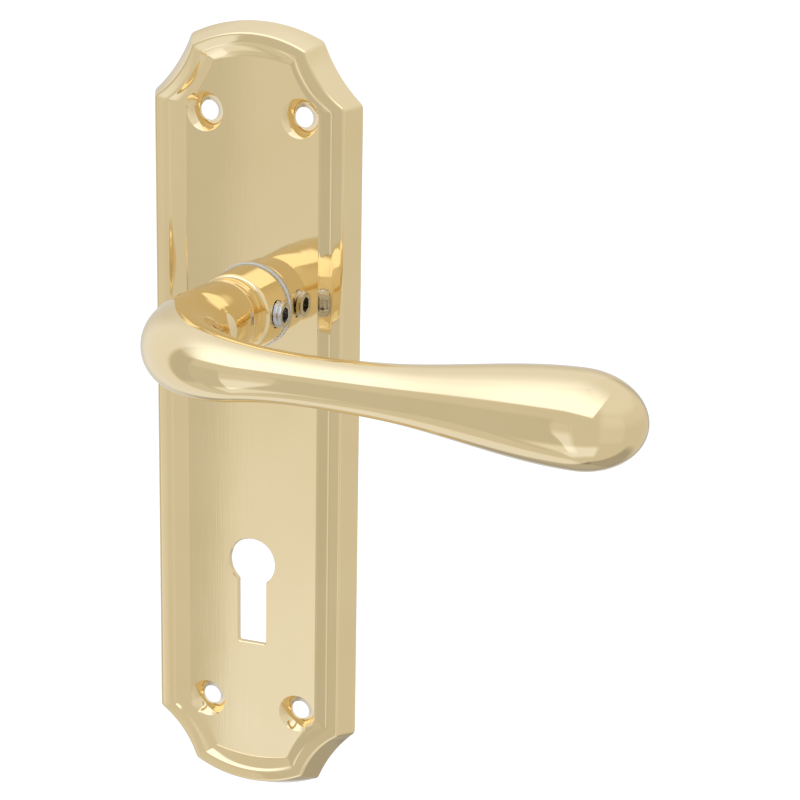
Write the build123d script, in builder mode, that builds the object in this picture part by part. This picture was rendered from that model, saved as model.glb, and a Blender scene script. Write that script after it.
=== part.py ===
from build123d import *
from math import acos, asin, atan2, cos, degrees, radians, sin
import os

# Sprung lever handle on a shaped backplate, for a door with a lever lock. Millimetres.
# The origin is on the spindle axis, in the plane of the door's face. +X runs along the grip,
# +Z is up and -Y points away from the door, towards the user. "Height" below always means the
# distance from the door's face towards the user, so a negative height is inside the door.

# Backplate
PLATE_CENTRE_Z = -25.25
PANEL_HEIGHT = 2.7
PANEL_THICKNESS = 1.3
POCKET_HEIGHT = PANEL_HEIGHT - PANEL_THICKNESS
CREASE_HEIGHT = 2.9
LAND_HEIGHT = 4.25
ROUND_STEPS = 3
ARRIS_HEIGHT = 4.6
# Each outline is half its width, its shoulder, the corner where its crown begins (x, z), its crown,
# how far its four hollow corners bow inwards, and the round on its outer corners.
BACK_OUTLINE = (23.5, 68.3, 14.9, 80.6, 84.0, 0.9, 1.6)
ARRIS_OUTLINE = (21.15, 67.8, 12.5, 78.7, 81.8, 1.2, 1.0)
LIP_OUTLINE = (20.95, 67.7, 12.3, 78.5, 81.6, 1.2, 1.0)
LAND_OUTLINE = (18.8, 67.1, 10.9, 77.4, 80.0, 1.1, 1.0)
CREASE_OUTLINE = (15.4, 66.1, 8.8, 75.9, 77.2, 0.7, 0.7)
PANEL_OUTLINE = (14.9, 66.0, 8.5, 75.7, 76.8, 0.6, 0.6)
POCKET_OUTLINE = (20.6, 67.0, 12.4, 78.0, 81.2, 0.9, 1.0)
SCREW_SPACING_X = 21.3
SCREW_SPACING_Z = 130.0
SCREW_HOLE_RADIUS = 2.1
SCREW_SEAT_RADIUS = 4.1
SCREW_BOSS_RADIUS = 5.2
KEYHOLE_Z = -57.0
KEYHOLE_RADIUS = 5.35
KEY_SLOT_WIDTH = 6.6
KEY_SLOT_BOTTOM_Z = -75.5
KEYHOLE_ROUND = 0.6

# Lever
SEAT_HEIGHT = 3.5
BARREL_FOOT_RADIUS = 8.8
BARREL_TOP = 12.4
BARREL_TOP_RADIUS = 8.35
BARREL_ROUND = 0.8
# The arm's sections as height and radius. Its root sits a little off the spindle axis.
ARM_SECTIONS = (
    (11.0, 7.4),
    (12.4, 7.2),
    (13.7, 7.05),
    (15.3, 7.35),
    (17.0, 7.7),
    (19.5, 8.0),
    (22.5, 8.2),
    (25.5, 8.3),
    (28.0, 8.3),
)
ROOT_SHIFT = (-0.6, 0.5)
SHIFT_END = 22.0
ELBOW_HEIGHT = 29.8
ELBOW_BEND = 22.0
ELBOW_RADIUS = 8.2
GRIP_TILT = 2.9
GRIP_START_RADIUS = 5.75
GRIP_WAIST = (17.0, 4.85)
GRIP_SWELL = ((33.0, 5.55), (45.0, 7.05), (56.0, 8.5))
GRIP_BULB = (67.0, 9.15)
GRIP_LENGTH = 79.4
SOCKET_SIZE = 8.0
SOCKET_TOP = 10.9
GRUB_HEIGHT = 7.9
GRUB_RADIUS = 2.9
GRUB_HOLE_RADIUS = 2.95
GRUB_HEX = 3.0
GRUB_START = 4.05
GRUB_LENGTH = 6.0
GRUB_CHAMFER = 0.3
ELBOW_STEPS = 8

# Shank, which carries the spindle socket through the plate
SHANK_RADIUS = 6.95
SPIGOT_RADIUS = 6.6
SPIGOT_TOP = 11.6
SHANK_END = -10.3
SHANK_FLATS = 11.8
BUSH_BORE = 7.0
BUSH_SLEEVE_RADIUS = 8.0
BUSH_FLANGE_RADIUS = 9.1
BUSH_CHAMFER = 0.15
RUNNING_GAP = 0.05

# Return-spring housing behind the plate
HOUSING_RADIUS = 17.5
HOUSING_SHEET = 0.8
HOUSING_FLOOR = POCKET_HEIGHT - HOUSING_SHEET
HOUSING_RIM = -6.0
COVER_THICKNESS = 1.2
COVER_BACK = HOUSING_RIM - COVER_THICKNESS
PILLAR_CIRCLE = 14.5
PILLAR_RADIUS = 1.9
PILLAR_ANGLES = (95.0, 175.0, -20.0)
TAP_RADIUS = 1.1
TAP_DEPTH = 6.0
COVER_SCREW_RADIUS = 1.35
COVER_HEAD_RADIUS = 2.3
COVER_SCREW_LENGTH = 6.5
COVER_RECESS = 2.1
COVER_RECESS_DEPTH = 0.7
LEVER_TRAVEL = 45.0
STOP_CIRCLE = 13.5
PIN_RADIUS = 1.25
LUG_WIDTH = 5.0
LUG_REACH = 15.2
STOP_GAP = 0.15
LUG_ANGLE = -90.0 + LEVER_TRAVEL / 2
DRIVE_TOP = 0.1
DRIVE_THICKNESS = 1.5
DRIVE_BACK = DRIVE_TOP - DRIVE_THICKNESS
ARM_ANGLE = 60.0
ARM_WIDTH = 4.4
SPRING_PIN_CIRCLE = 13.2
ANCHOR_ANGLE = 125.0
SPRING_RADIUS = 10.2
WIRE_RADIUS = 0.55
SPRING_FRONT = -2.25
SPRING_BACK = -5.2
SPRING_TURNS = 2
SPRING_LEG = 8.0
DRIVE_HUB_RADIUS = 9.4
DRIVE_PIN_BACK = -3.4
THRUST_RADIUS = 10.5
GUIDE_RADIUS = 9.2

# Behind the cover
REAR_SLEEVE_RADIUS = 8.2
REAR_FLANGE_RADIUS = 10.0
REAR_FLANGE_BACK = -7.8
SPRING_WASHER_FRONT = -7.85
DISH_RADIUS = 9.3
DISH_THICKNESS = 0.25
SHIM_THICKNESS = 0.3
CIRCLIP_FRONT = -8.7
CIRCLIP_BACK = -9.5
GROOVE_RADIUS = 6.35
CIRCLIP_RADIUS = 8.6
CIRCLIP_OPENING = 5.0
EAR_RADIUS = 1.6
EAR_HOLE_RADIUS = 0.6
EAR_CIRCLE = 8.4
EAR_SPREAD = 29.0


def face(height):
    """The plane parallel to the door's face at this height, seen from the front."""
    return Plane.XZ.offset(height)


def polar(radius, angle):
    """A point on the face, as local x and y about the spindle axis."""
    return (radius * cos(radians(angle)), radius * sin(radians(angle)))


def shaped_outline(half_width, shoulder, corner_x, corner_z, crown, bow, corner_round):
    """The plate's outline: straight sides, hollow corners and an arched crown at both ends."""
    centre = PLATE_CENTRE_Z
    chord = Vector(corner_x - half_width, corner_z - shoulder)
    inward = Vector(-chord.Y, chord.X).normalized() * bow
    hollow = Vector(half_width, shoulder) + chord * 0.5 + inward
    with BuildLine() as edge:
        for side in (1, -1):
            Line((side * half_width, centre - shoulder), (side * half_width, centre + shoulder))
            for end in (1, -1):
                ThreePointArc(
                    (side * half_width, centre + end * shoulder),
                    (side * hollow.X, centre + end * hollow.Y),
                    (side * corner_x, centre + end * corner_z),
                )
        for end in (1, -1):
            ThreePointArc(
                (corner_x, centre + end * corner_z),
                (0, centre + end * crown),
                (-corner_x, centre + end * corner_z),
            )
    make_face(edge.edges())
    fillet(vertices(), corner_round)


def keyhole_outline():
    """A round eye over a straight slot."""
    with Locations((0, KEYHOLE_Z)):
        Circle(KEYHOLE_RADIUS)
    with Locations((0, (KEYHOLE_Z + KEY_SLOT_BOTTOM_Z) / 2)):
        Rectangle(KEY_SLOT_WIDTH, KEYHOLE_Z - KEY_SLOT_BOTTOM_Z)


def washer(outer, inner, front, back):
    """A flat ring on the spindle axis between two heights."""
    with BuildPart() as ring:
        with BuildSketch(face(back)):
            Circle(outer)
            Circle(inner, mode=Mode.SUBTRACT)
        extrude(amount=front - back)
    return ring


def pins(places, radius, front, back):
    """Plain round pins between two heights."""
    with BuildPart() as group:
        with BuildSketch(face(back)):
            with Locations(*places):
                Circle(radius)
        extrude(amount=front - back)
    return group


os.makedirs("parts", exist_ok=True)

screw_places = [
    (side * SCREW_SPACING_X / 2, PLATE_CENTRE_Z + end * SCREW_SPACING_Z / 2)
    for side in (1, -1)
    for end in (1, -1)
]
pillar_places = [polar(PILLAR_CIRCLE, angle) for angle in PILLAR_ANGLES]
stop_offset = degrees(asin((LUG_WIDTH / 2 + PIN_RADIUS + STOP_GAP) / STOP_CIRCLE))
stop_places = [
    polar(STOP_CIRCLE, LUG_ANGLE + stop_offset),
    polar(STOP_CIRCLE, LUG_ANGLE - LEVER_TRAVEL - stop_offset),
]
anchor_place = polar(SPRING_PIN_CIRCLE, ANCHOR_ANGLE)
drive_pin_place = polar(SPRING_PIN_CIRCLE, ARM_ANGLE)
ear_places = [polar(EAR_CIRCLE, -90 - EAR_SPREAD), polar(EAR_CIRCLE, -90 + EAR_SPREAD)]

# Backplate: a cast shell with a sloping wall, a moulded border round a flat sunk panel, bored for
# the spindle, and three pillars behind that carry the spring housing.
with BuildPart() as backplate:
    with BuildSketch(face(0)):
        shaped_outline(*BACK_OUTLINE)
    with BuildSketch(face(ARRIS_HEIGHT)):
        shaped_outline(*ARRIS_OUTLINE)
    loft(ruled=True)
    with BuildSketch(face(0)):
        shaped_outline(*POCKET_OUTLINE)
    extrude(amount=POCKET_HEIGHT, mode=Mode.SUBTRACT)
    with BuildSketch(face(ARRIS_HEIGHT)):
        shaped_outline(*LIP_OUTLINE)
    with BuildSketch(face(LAND_HEIGHT)):
        shaped_outline(*LAND_OUTLINE)
    for step in range(ROUND_STEPS + 1):
        lean = radians(90 * step / ROUND_STEPS)
        inwards = [
            crease + (panel - crease) * sin(lean)
            for crease, panel in zip(CREASE_OUTLINE, PANEL_OUTLINE)
        ]
        with BuildSketch(face(PANEL_HEIGHT + (CREASE_HEIGHT - PANEL_HEIGHT) * cos(lean))):
            shaped_outline(*inwards)
    loft(ruled=True, mode=Mode.SUBTRACT)
    with BuildSketch(face(0)):
        with Locations(*screw_places):
            Circle(SCREW_BOSS_RADIUS)
    extrude(amount=POCKET_HEIGHT)
    with BuildSketch(face(POCKET_HEIGHT)):
        Circle(BUSH_SLEEVE_RADIUS)
    extrude(amount=PANEL_THICKNESS, mode=Mode.SUBTRACT)
    with BuildSketch(face(HOUSING_RIM)):
        with Locations(*pillar_places):
            Circle(PILLAR_RADIUS)
    extrude(amount=POCKET_HEIGHT - HOUSING_RIM)
    with BuildSketch(face(HOUSING_RIM)):
        with Locations(*pillar_places):
            Circle(TAP_RADIUS)
    extrude(amount=TAP_DEPTH, mode=Mode.SUBTRACT)
    with BuildSketch(face(0)):
        with Locations(*screw_places):
            Circle(SCREW_HOLE_RADIUS)
    extrude(amount=PANEL_HEIGHT, mode=Mode.SUBTRACT)
    with BuildSketch(face(PANEL_HEIGHT - SCREW_SEAT_RADIUS + SCREW_HOLE_RADIUS)):
        with Locations(*screw_places):
            Circle(SCREW_HOLE_RADIUS)
    extrude(amount=ARRIS_HEIGHT, taper=-45, mode=Mode.SUBTRACT)
    with BuildSketch(face(0)) as keyhole:
        keyhole_outline()
        fillet(keyhole.vertices(), KEYHOLE_ROUND)
    extrude(amount=PANEL_HEIGHT, mode=Mode.SUBTRACT)
backplate.part.label = "backplate"
export_step(backplate.part, "parts/backplate.step")

# Lever: a turned barrel at the plate, an arm that is slightly off its centre and bends through a
# smooth elbow, and a grip that thins to a waist and swells to a bulb.
elbow_turn = 90 - GRIP_TILT
elbow_length = ELBOW_BEND * radians(elbow_turn)
taper_rate = 2 * (ELBOW_RADIUS - GRIP_START_RADIUS) / elbow_length


def arm_plane(height):
    """The plane across the straight of the arm at this height."""
    shift = max(0, (SHIFT_END - height) / (SHIFT_END - ARM_SECTIONS[0][0]))
    centre = (ROOT_SHIFT[0] * shift, -height, ROOT_SHIFT[1] * shift)
    return Plane(centre, x_dir=(0, 0, 1), z_dir=(0, -1, 0))


def elbow_plane(angle):
    """The plane across the elbow where it has turned this many degrees from the straight."""
    turned = radians(angle)
    across = ELBOW_BEND * (1 - cos(turned))
    height = ELBOW_HEIGHT + ELBOW_BEND * sin(turned)
    return Plane((across, -height, 0), x_dir=(0, 0, 1), z_dir=(sin(turned), -cos(turned), 0))


grip_start = elbow_plane(elbow_turn).origin
grip_way = elbow_plane(elbow_turn).z_dir
grip_plane = Plane(grip_start, x_dir=grip_way, z_dir=grip_way.cross(Vector(0, 0, 1)))

with BuildPart() as lever_handle:
    for height, radius in ARM_SECTIONS:
        with BuildSketch(arm_plane(height)):
            Circle(radius)
    for step in range(ELBOW_STEPS + 1):
        done = step / ELBOW_STEPS
        with BuildSketch(elbow_plane(elbow_turn * done)):
            Circle(ELBOW_RADIUS - (ELBOW_RADIUS - GRIP_START_RADIUS) * done**2)
    loft()
    with BuildSketch(Plane.YZ) as barrel:
        Polygon(
            (-SEAT_HEIGHT, 0),
            (-SEAT_HEIGHT, BARREL_FOOT_RADIUS),
            (-BARREL_TOP, BARREL_TOP_RADIUS),
            (-BARREL_TOP, 0),
            align=None,
        )
        fillet(barrel.vertices().sort_by(Axis.Y)[:2].sort_by(Axis.Z)[-1], BARREL_ROUND)
    revolve(axis=Axis.Y)
    with BuildSketch(grip_plane):
        with BuildLine():
            rise = Line((0, 0), (0, GRIP_START_RADIUS))
            Spline(
                rise @ 1,
                GRIP_WAIST,
                *GRIP_SWELL,
                GRIP_BULB,
                tangents=((1, -taper_rate), (1, 0)),
            )
            EllipticalCenterArc(
                (GRIP_BULB[0], 0),
                GRIP_LENGTH - GRIP_BULB[0],
                GRIP_BULB[1],
                start_angle=0,
                arc_size=90,
            )
            Line((GRIP_LENGTH, 0), (0, 0))
        make_face()
    revolve(axis=Axis(grip_start, grip_way))
    with BuildSketch(face(SEAT_HEIGHT)):
        Circle(SPIGOT_RADIUS)
    extrude(amount=SPIGOT_TOP - SEAT_HEIGHT, mode=Mode.SUBTRACT)
    with BuildSketch(Plane.YZ):
        with Locations((-GRUB_HEIGHT, 0)):
            Circle(GRUB_HOLE_RADIUS)
    extrude(amount=2 * BARREL_FOOT_RADIUS, mode=Mode.SUBTRACT)
lever_handle.part.label = "lever_handle"
export_step(lever_handle.part, "parts/lever_handle.step")

# Drive shank: a steel sleeve set in the barrel, with the square spindle socket in it.
with BuildPart() as drive_shank:
    with BuildSketch(face(SHANK_END)):
        Circle(SHANK_RADIUS)
    extrude(amount=SEAT_HEIGHT - SHANK_END)
    with BuildSketch(face(SEAT_HEIGHT)):
        Circle(SPIGOT_RADIUS)
    extrude(amount=SPIGOT_TOP - SEAT_HEIGHT)
    with BuildSketch(face(SHANK_END)):
        Circle(SHANK_RADIUS)
        Rectangle(SHANK_FLATS, 2 * SHANK_RADIUS, mode=Mode.SUBTRACT)
    extrude(amount=DRIVE_TOP - SHANK_END, mode=Mode.SUBTRACT)
    with BuildSketch(face(CIRCLIP_BACK)):
        Circle(SHANK_RADIUS)
        Circle(GROOVE_RADIUS, mode=Mode.SUBTRACT)
    extrude(amount=CIRCLIP_FRONT - CIRCLIP_BACK, mode=Mode.SUBTRACT)
    with BuildSketch(face(SHANK_END)):
        Rectangle(SOCKET_SIZE, SOCKET_SIZE)
    extrude(amount=SOCKET_TOP - SHANK_END, mode=Mode.SUBTRACT)
    with BuildSketch(Plane.YZ):
        with Locations((-GRUB_HEIGHT, 0)):
            Circle(GRUB_HOLE_RADIUS)
    extrude(amount=SPIGOT_RADIUS, mode=Mode.SUBTRACT)
drive_shank.part.label = "drive_shank"
export_step(drive_shank.part, "parts/drive_shank.step")

# Grub screw: clamps the spindle in its socket from the side of the barrel.
with BuildPart() as grub_screw:
    with BuildSketch(Plane.YZ.offset(GRUB_START)):
        with Locations((-GRUB_HEIGHT, 0)):
            Circle(GRUB_RADIUS)
    extrude(amount=GRUB_LENGTH)
    chamfer(grub_screw.edges().filter_by(GeomType.CIRCLE), GRUB_CHAMFER)
    with BuildSketch(Plane.YZ.offset(GRUB_START + GRUB_LENGTH)):
        with Locations((-GRUB_HEIGHT, 0)):
            RegularPolygon(GRUB_HEX / 2, 6, major_radius=False)
    extrude(amount=-GRUB_HEX, mode=Mode.SUBTRACT)
grub_screw.part.label = "grub_screw"
export_step(grub_screw.part, "parts/grub_screw.step")

# Neck bush: a white nylon bearing in the panel, whose flange shows as a ring under the barrel.
with BuildPart() as neck_bush:
    with BuildSketch(face(HOUSING_FLOOR)):
        Circle(BUSH_SLEEVE_RADIUS)
    extrude(amount=PANEL_HEIGHT - HOUSING_FLOOR)
    with BuildSketch(face(PANEL_HEIGHT)):
        Circle(BUSH_FLANGE_RADIUS)
    extrude(amount=SEAT_HEIGHT - RUNNING_GAP - PANEL_HEIGHT)
    chamfer(neck_bush.edges().group_by(Axis.Y)[0], BUSH_CHAMFER)
    with BuildSketch(face(HOUSING_FLOOR)):
        Circle(BUSH_BORE)
    extrude(amount=SEAT_HEIGHT - HOUSING_FLOOR, mode=Mode.SUBTRACT)
neck_bush.part.label = "neck_bush"
export_step(neck_bush.part, "parts/neck_bush.step")

# Spring housing: a pressed steel cup against the back of the panel.
with BuildPart() as spring_housing:
    with BuildSketch(face(HOUSING_RIM)):
        Circle(HOUSING_RADIUS)
    extrude(amount=POCKET_HEIGHT - HOUSING_RIM)
    fillet(spring_housing.edges().group_by(Axis.Y)[0], HOUSING_SHEET)
    with BuildSketch(face(HOUSING_RIM)):
        Circle(HOUSING_RADIUS - HOUSING_SHEET)
    extrude(amount=HOUSING_FLOOR - HOUSING_RIM, mode=Mode.SUBTRACT)
    with BuildSketch(face(HOUSING_FLOOR)):
        Circle(BUSH_SLEEVE_RADIUS)
        with Locations(*pillar_places):
            Circle(PILLAR_RADIUS)
        with Locations(*stop_places, anchor_place):
            Circle(PIN_RADIUS)
    extrude(amount=HOUSING_SHEET, mode=Mode.SUBTRACT)
spring_housing.part.label = "spring_housing"
export_step(spring_housing.part, "parts/spring_housing.step")

# Housing cover: a steel disc over the cup, screwed to the backplate's pillars.
with BuildPart() as housing_cover:
    with BuildSketch(face(COVER_BACK)):
        Circle(HOUSING_RADIUS)
        Circle(REAR_SLEEVE_RADIUS, mode=Mode.SUBTRACT)
        with Locations(*pillar_places):
            Circle(COVER_SCREW_RADIUS, mode=Mode.SUBTRACT)
        with Locations(*stop_places, anchor_place):
            Circle(PIN_RADIUS, mode=Mode.SUBTRACT)
    extrude(amount=COVER_THICKNESS)
    with BuildSketch(face(COVER_BACK)):
        with Locations(*pillar_places):
            Circle(COVER_HEAD_RADIUS)
    extrude(amount=COVER_HEAD_RADIUS - COVER_SCREW_RADIUS, taper=45, mode=Mode.SUBTRACT)
housing_cover.part.label = "housing_cover"
export_step(housing_cover.part, "parts/housing_cover.step")

# Cover screws: three countersunk screws into the pillars.
with BuildPart() as cover_screws:
    with BuildSketch(face(COVER_BACK)):
        with Locations(*pillar_places):
            Circle(TAP_RADIUS)
    extrude(amount=COVER_SCREW_LENGTH)
    with BuildSketch(face(COVER_BACK)):
        with Locations(*pillar_places):
            Circle(COVER_HEAD_RADIUS)
    extrude(amount=COVER_HEAD_RADIUS - TAP_RADIUS, taper=45)
    with BuildSketch(face(COVER_BACK)):
        with Locations(*pillar_places):
            Rectangle(COVER_RECESS, COVER_RECESS / 3)
            Rectangle(COVER_RECESS / 3, COVER_RECESS)
    extrude(amount=COVER_RECESS_DEPTH, mode=Mode.SUBTRACT)
cover_screws.part.label = "cover_screws"
export_step(cover_screws.part, "parts/cover_screws.step")

# Drive plate: keyed on the shank's flats, with a stop lug and the arm that winds the spring.
with BuildPart() as drive_plate:
    with BuildSketch(face(DRIVE_BACK)):
        Circle(DRIVE_HUB_RADIUS)
        with PolarLocations(LUG_REACH / 2, 1, start_angle=LUG_ANGLE):
            Rectangle(LUG_REACH, LUG_WIDTH)
        with PolarLocations(LUG_REACH / 2, 1, start_angle=ARM_ANGLE):
            Rectangle(LUG_REACH, ARM_WIDTH)
        with BuildSketch(mode=Mode.SUBTRACT):
            Circle(BUSH_BORE)
            Rectangle(SHANK_FLATS, 2 * BUSH_BORE, mode=Mode.INTERSECT)
        with Locations(drive_pin_place):
            Circle(PIN_RADIUS, mode=Mode.SUBTRACT)
    extrude(amount=DRIVE_THICKNESS)
drive_plate.part.label = "drive_plate"
export_step(drive_plate.part, "parts/drive_plate.step")

drive_pin = pins([drive_pin_place], PIN_RADIUS, DRIVE_TOP, DRIVE_PIN_BACK)
drive_pin.part.label = "drive_pin"
export_step(drive_pin.part, "parts/drive_pin.step")

stop_pins = pins(stop_places, PIN_RADIUS, POCKET_HEIGHT, COVER_BACK)
stop_pins.part.label = "stop_pins"
export_step(stop_pins.part, "parts/stop_pins.step")

anchor_pin = pins([anchor_place], PIN_RADIUS, POCKET_HEIGHT, COVER_BACK)
anchor_pin.part.label = "anchor_pin"
export_step(anchor_pin.part, "parts/anchor_pin.step")

thrust_washer = washer(THRUST_RADIUS, BUSH_BORE + RUNNING_GAP, HOUSING_FLOOR, DRIVE_TOP + RUNNING_GAP)
thrust_washer.part.label = "thrust_washer"
export_step(thrust_washer.part, "parts/thrust_washer.step")

spring_guide = washer(GUIDE_RADIUS, BUSH_BORE, DRIVE_BACK - 2 * RUNNING_GAP, HOUSING_RIM)
spring_guide.part.label = "spring_guide"
export_step(spring_guide.part, "parts/spring_guide.step")

# Return spring: a torsion coil round the guide. Its two straight legs leave the coil on a tangent
# and lie inside the drive pin and the anchor pin.
leg_clearance = SPRING_RADIUS + WIRE_RADIUS + PIN_RADIUS + RUNNING_GAP
leg_lead = degrees(acos(leg_clearance / SPRING_PIN_CIRCLE))
moving_leg_angle = ARM_ANGLE + leg_lead
fixed_leg_angle = ANCHOR_ANGLE - leg_lead
coil_turns = SPRING_TURNS + (fixed_leg_angle - moving_leg_angle) / 360

with BuildLine() as coil:
    Helix(
        pitch=(SPRING_FRONT - SPRING_BACK) / coil_turns,
        height=SPRING_FRONT - SPRING_BACK,
        radius=SPRING_RADIUS,
        center=(0, -SPRING_FRONT, 0),
        direction=(0, 1, 0),
        lefthand=True,
    )
coil_start = coil.line @ 0
turned = coil.line.rotate(Axis.Y, degrees(atan2(coil_start.Z, coil_start.X)) - moving_leg_angle)
with BuildLine() as wire:
    add(turned)
    Line(turned @ 0 - (turned % 0) * SPRING_LEG, turned @ 0)
    Line(turned @ 1, turned @ 1 + (turned % 1) * SPRING_LEG)
spring_path = Wire(wire.edges())

with BuildPart() as return_spring:
    with BuildSketch(Plane(spring_path @ 0, z_dir=spring_path % 0)):
        Circle(WIRE_RADIUS)
    sweep(path=spring_path)
return_spring.part.label = "return_spring"
export_step(return_spring.part, "parts/return_spring.step")

# Rear bush: a flanged nylon bearing in the cover.
with BuildPart() as rear_bush:
    with BuildSketch(face(COVER_BACK)):
        Circle(REAR_SLEEVE_RADIUS)
        Circle(BUSH_BORE, mode=Mode.SUBTRACT)
    extrude(amount=COVER_THICKNESS)
    with BuildSketch(face(COVER_BACK)):
        Circle(REAR_FLANGE_RADIUS)
        Circle(BUSH_BORE, mode=Mode.SUBTRACT)
    extrude(amount=REAR_FLANGE_BACK - COVER_BACK)
rear_bush.part.label = "rear_bush"
export_step(rear_bush.part, "parts/rear_bush.step")

# Spring washer: dished, it takes up the lever's end play behind the rear bush.
with BuildPart() as spring_washer:
    with BuildSketch(Plane.YZ):
        Polygon(
            (-SPRING_WASHER_FRONT, DISH_RADIUS),
            (-SPRING_WASHER_FRONT + DISH_THICKNESS, DISH_RADIUS),
            (-CIRCLIP_FRONT - SHIM_THICKNESS, SHANK_RADIUS + 2 * RUNNING_GAP),
            (-CIRCLIP_FRONT - SHIM_THICKNESS - DISH_THICKNESS, SHANK_RADIUS + 2 * RUNNING_GAP),
            align=None,
        )
    revolve(axis=Axis.Y)
spring_washer.part.label = "spring_washer"
export_step(spring_washer.part, "parts/spring_washer.step")

shim_washer = washer(
    DISH_RADIUS, SHANK_RADIUS + RUNNING_GAP, CIRCLIP_FRONT + SHIM_THICKNESS, CIRCLIP_FRONT
)
shim_washer.part.label = "shim_washer"
export_step(shim_washer.part, "parts/shim_washer.step")

# Circlip: an open ring in the shank's groove, with an ear beside its gap at each end.
with BuildPart() as circlip:
    with BuildSketch(face(CIRCLIP_BACK)):
        Circle(CIRCLIP_RADIUS)
        Circle(GROOVE_RADIUS, mode=Mode.SUBTRACT)
        with Locations(*ear_places):
            Circle(EAR_RADIUS)
        with Locations((0, -CIRCLIP_RADIUS)):
            Rectangle(CIRCLIP_OPENING, CIRCLIP_RADIUS, mode=Mode.SUBTRACT)
        with Locations(*ear_places):
            Circle(EAR_HOLE_RADIUS, mode=Mode.SUBTRACT)
    extrude(amount=CIRCLIP_FRONT - CIRCLIP_BACK)
circlip.part.label = "circlip"
export_step(circlip.part, "parts/circlip.step")
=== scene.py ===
from math import atan2, cos, pi, radians, sin, sqrt

import bmesh
import bpy
import numpy as np
from mathutils import Matrix, Vector


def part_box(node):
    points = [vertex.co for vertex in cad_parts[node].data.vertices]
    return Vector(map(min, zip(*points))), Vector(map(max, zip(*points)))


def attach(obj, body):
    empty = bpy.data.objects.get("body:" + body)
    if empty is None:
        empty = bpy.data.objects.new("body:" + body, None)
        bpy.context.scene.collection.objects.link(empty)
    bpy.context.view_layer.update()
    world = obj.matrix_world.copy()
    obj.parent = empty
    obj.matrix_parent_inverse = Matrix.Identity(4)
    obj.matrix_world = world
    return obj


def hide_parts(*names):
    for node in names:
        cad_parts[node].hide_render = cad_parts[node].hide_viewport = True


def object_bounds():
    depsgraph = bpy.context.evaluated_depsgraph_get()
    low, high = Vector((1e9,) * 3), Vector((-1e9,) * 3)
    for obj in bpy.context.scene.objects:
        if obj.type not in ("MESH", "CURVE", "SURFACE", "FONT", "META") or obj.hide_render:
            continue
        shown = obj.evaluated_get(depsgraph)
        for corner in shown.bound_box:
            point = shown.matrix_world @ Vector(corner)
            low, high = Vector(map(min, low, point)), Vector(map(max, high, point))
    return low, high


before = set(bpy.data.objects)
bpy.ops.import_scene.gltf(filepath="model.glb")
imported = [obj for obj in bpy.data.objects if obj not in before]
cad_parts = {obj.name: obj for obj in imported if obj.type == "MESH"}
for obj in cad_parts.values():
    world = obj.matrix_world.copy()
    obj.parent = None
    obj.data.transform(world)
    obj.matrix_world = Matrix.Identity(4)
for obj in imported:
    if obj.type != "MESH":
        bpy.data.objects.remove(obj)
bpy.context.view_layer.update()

# The looks of a sprung lever handle on a shaped brass backplate. Lengths in the constants are
# millimetres, and MM turns them into metres. Height is the distance from the door's face, along -Y.
MM = 0.001

# Backplate outlines: half width, shoulder, corner x and z, crown, bow of the hollow corners, round
BACK_OUTLINE = (23.5, 68.3, 14.9, 80.6, 84.0, 0.9, 1.6)
ARRIS_OUTLINE = (21.15, 67.8, 12.5, 78.7, 81.8, 1.2, 1.0)
LAND_OUTLINE = (18.8, 67.1, 10.9, 77.4, 80.0, 1.1, 1.0)
CREASE_OUTLINE = (15.4, 66.1, 8.8, 75.9, 77.2, 0.7, 0.7)
PANEL_OUTLINE = (14.9, 66.0, 8.5, 75.7, 76.8, 0.6, 0.6)
POCKET_OUTLINE = (20.6, 67.0, 12.4, 78.0, 81.2, 0.9, 1.0)
PANEL_HEIGHT = 2.7
CREASE_HEIGHT = 2.9
LAND_HEIGHT = 4.25
ARRIS_HEIGHT = 4.6
COVE_DEPTH = 0.1
POCKET_HEIGHT = 1.4
SIDE_POINTS = 46
CORNER_POINTS = 8
HOLLOW_POINTS = 18
CROWN_POINTS = 22
ROUND_ROWS = 5
# Where each surface of the border's section leaves its rounds, as shares of its width
COVE_START = 0.08
COVE_STEPS = (0.25, 0.45, 0.65, 0.8)
COVE_END = 0.88
LAND_START = 0.25
LAND_END = 0.78
WALL_START = 0.1
WALL_END = 0.95
BACK_START = 0.1
EDGE_ROWS = 7
SMALL_EDGE_ROWS = 4
SCREW_SPACING_X = 21.3
SCREW_SPACING_Z = 130.0
SCREW_HOLE_RADIUS = 2.1
SCREW_SEAT_RADIUS = 4.1
SCREW_BOSS_RADIUS = 5.2
KEYHOLE_Z = -57.0
KEYHOLE_RADIUS = 5.35
KEY_SLOT_HALF = 3.3
KEY_SLOT_BOTTOM_Z = -75.5
KEYHOLE_ROUND = 0.6
KEYHOLE_FLARE = 0.6
SEAT_ROUND = 0.12
BUSH_SLEEVE_RADIUS = 8.0
PILLAR_CIRCLE = 14.5
PILLAR_RADIUS = 1.9
PILLAR_ANGLES = (95.0, 175.0, -20.0)
PILLAR_BACK = -6.0
TAP_RADIUS = 1.1
TAP_END = -0.05

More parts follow.
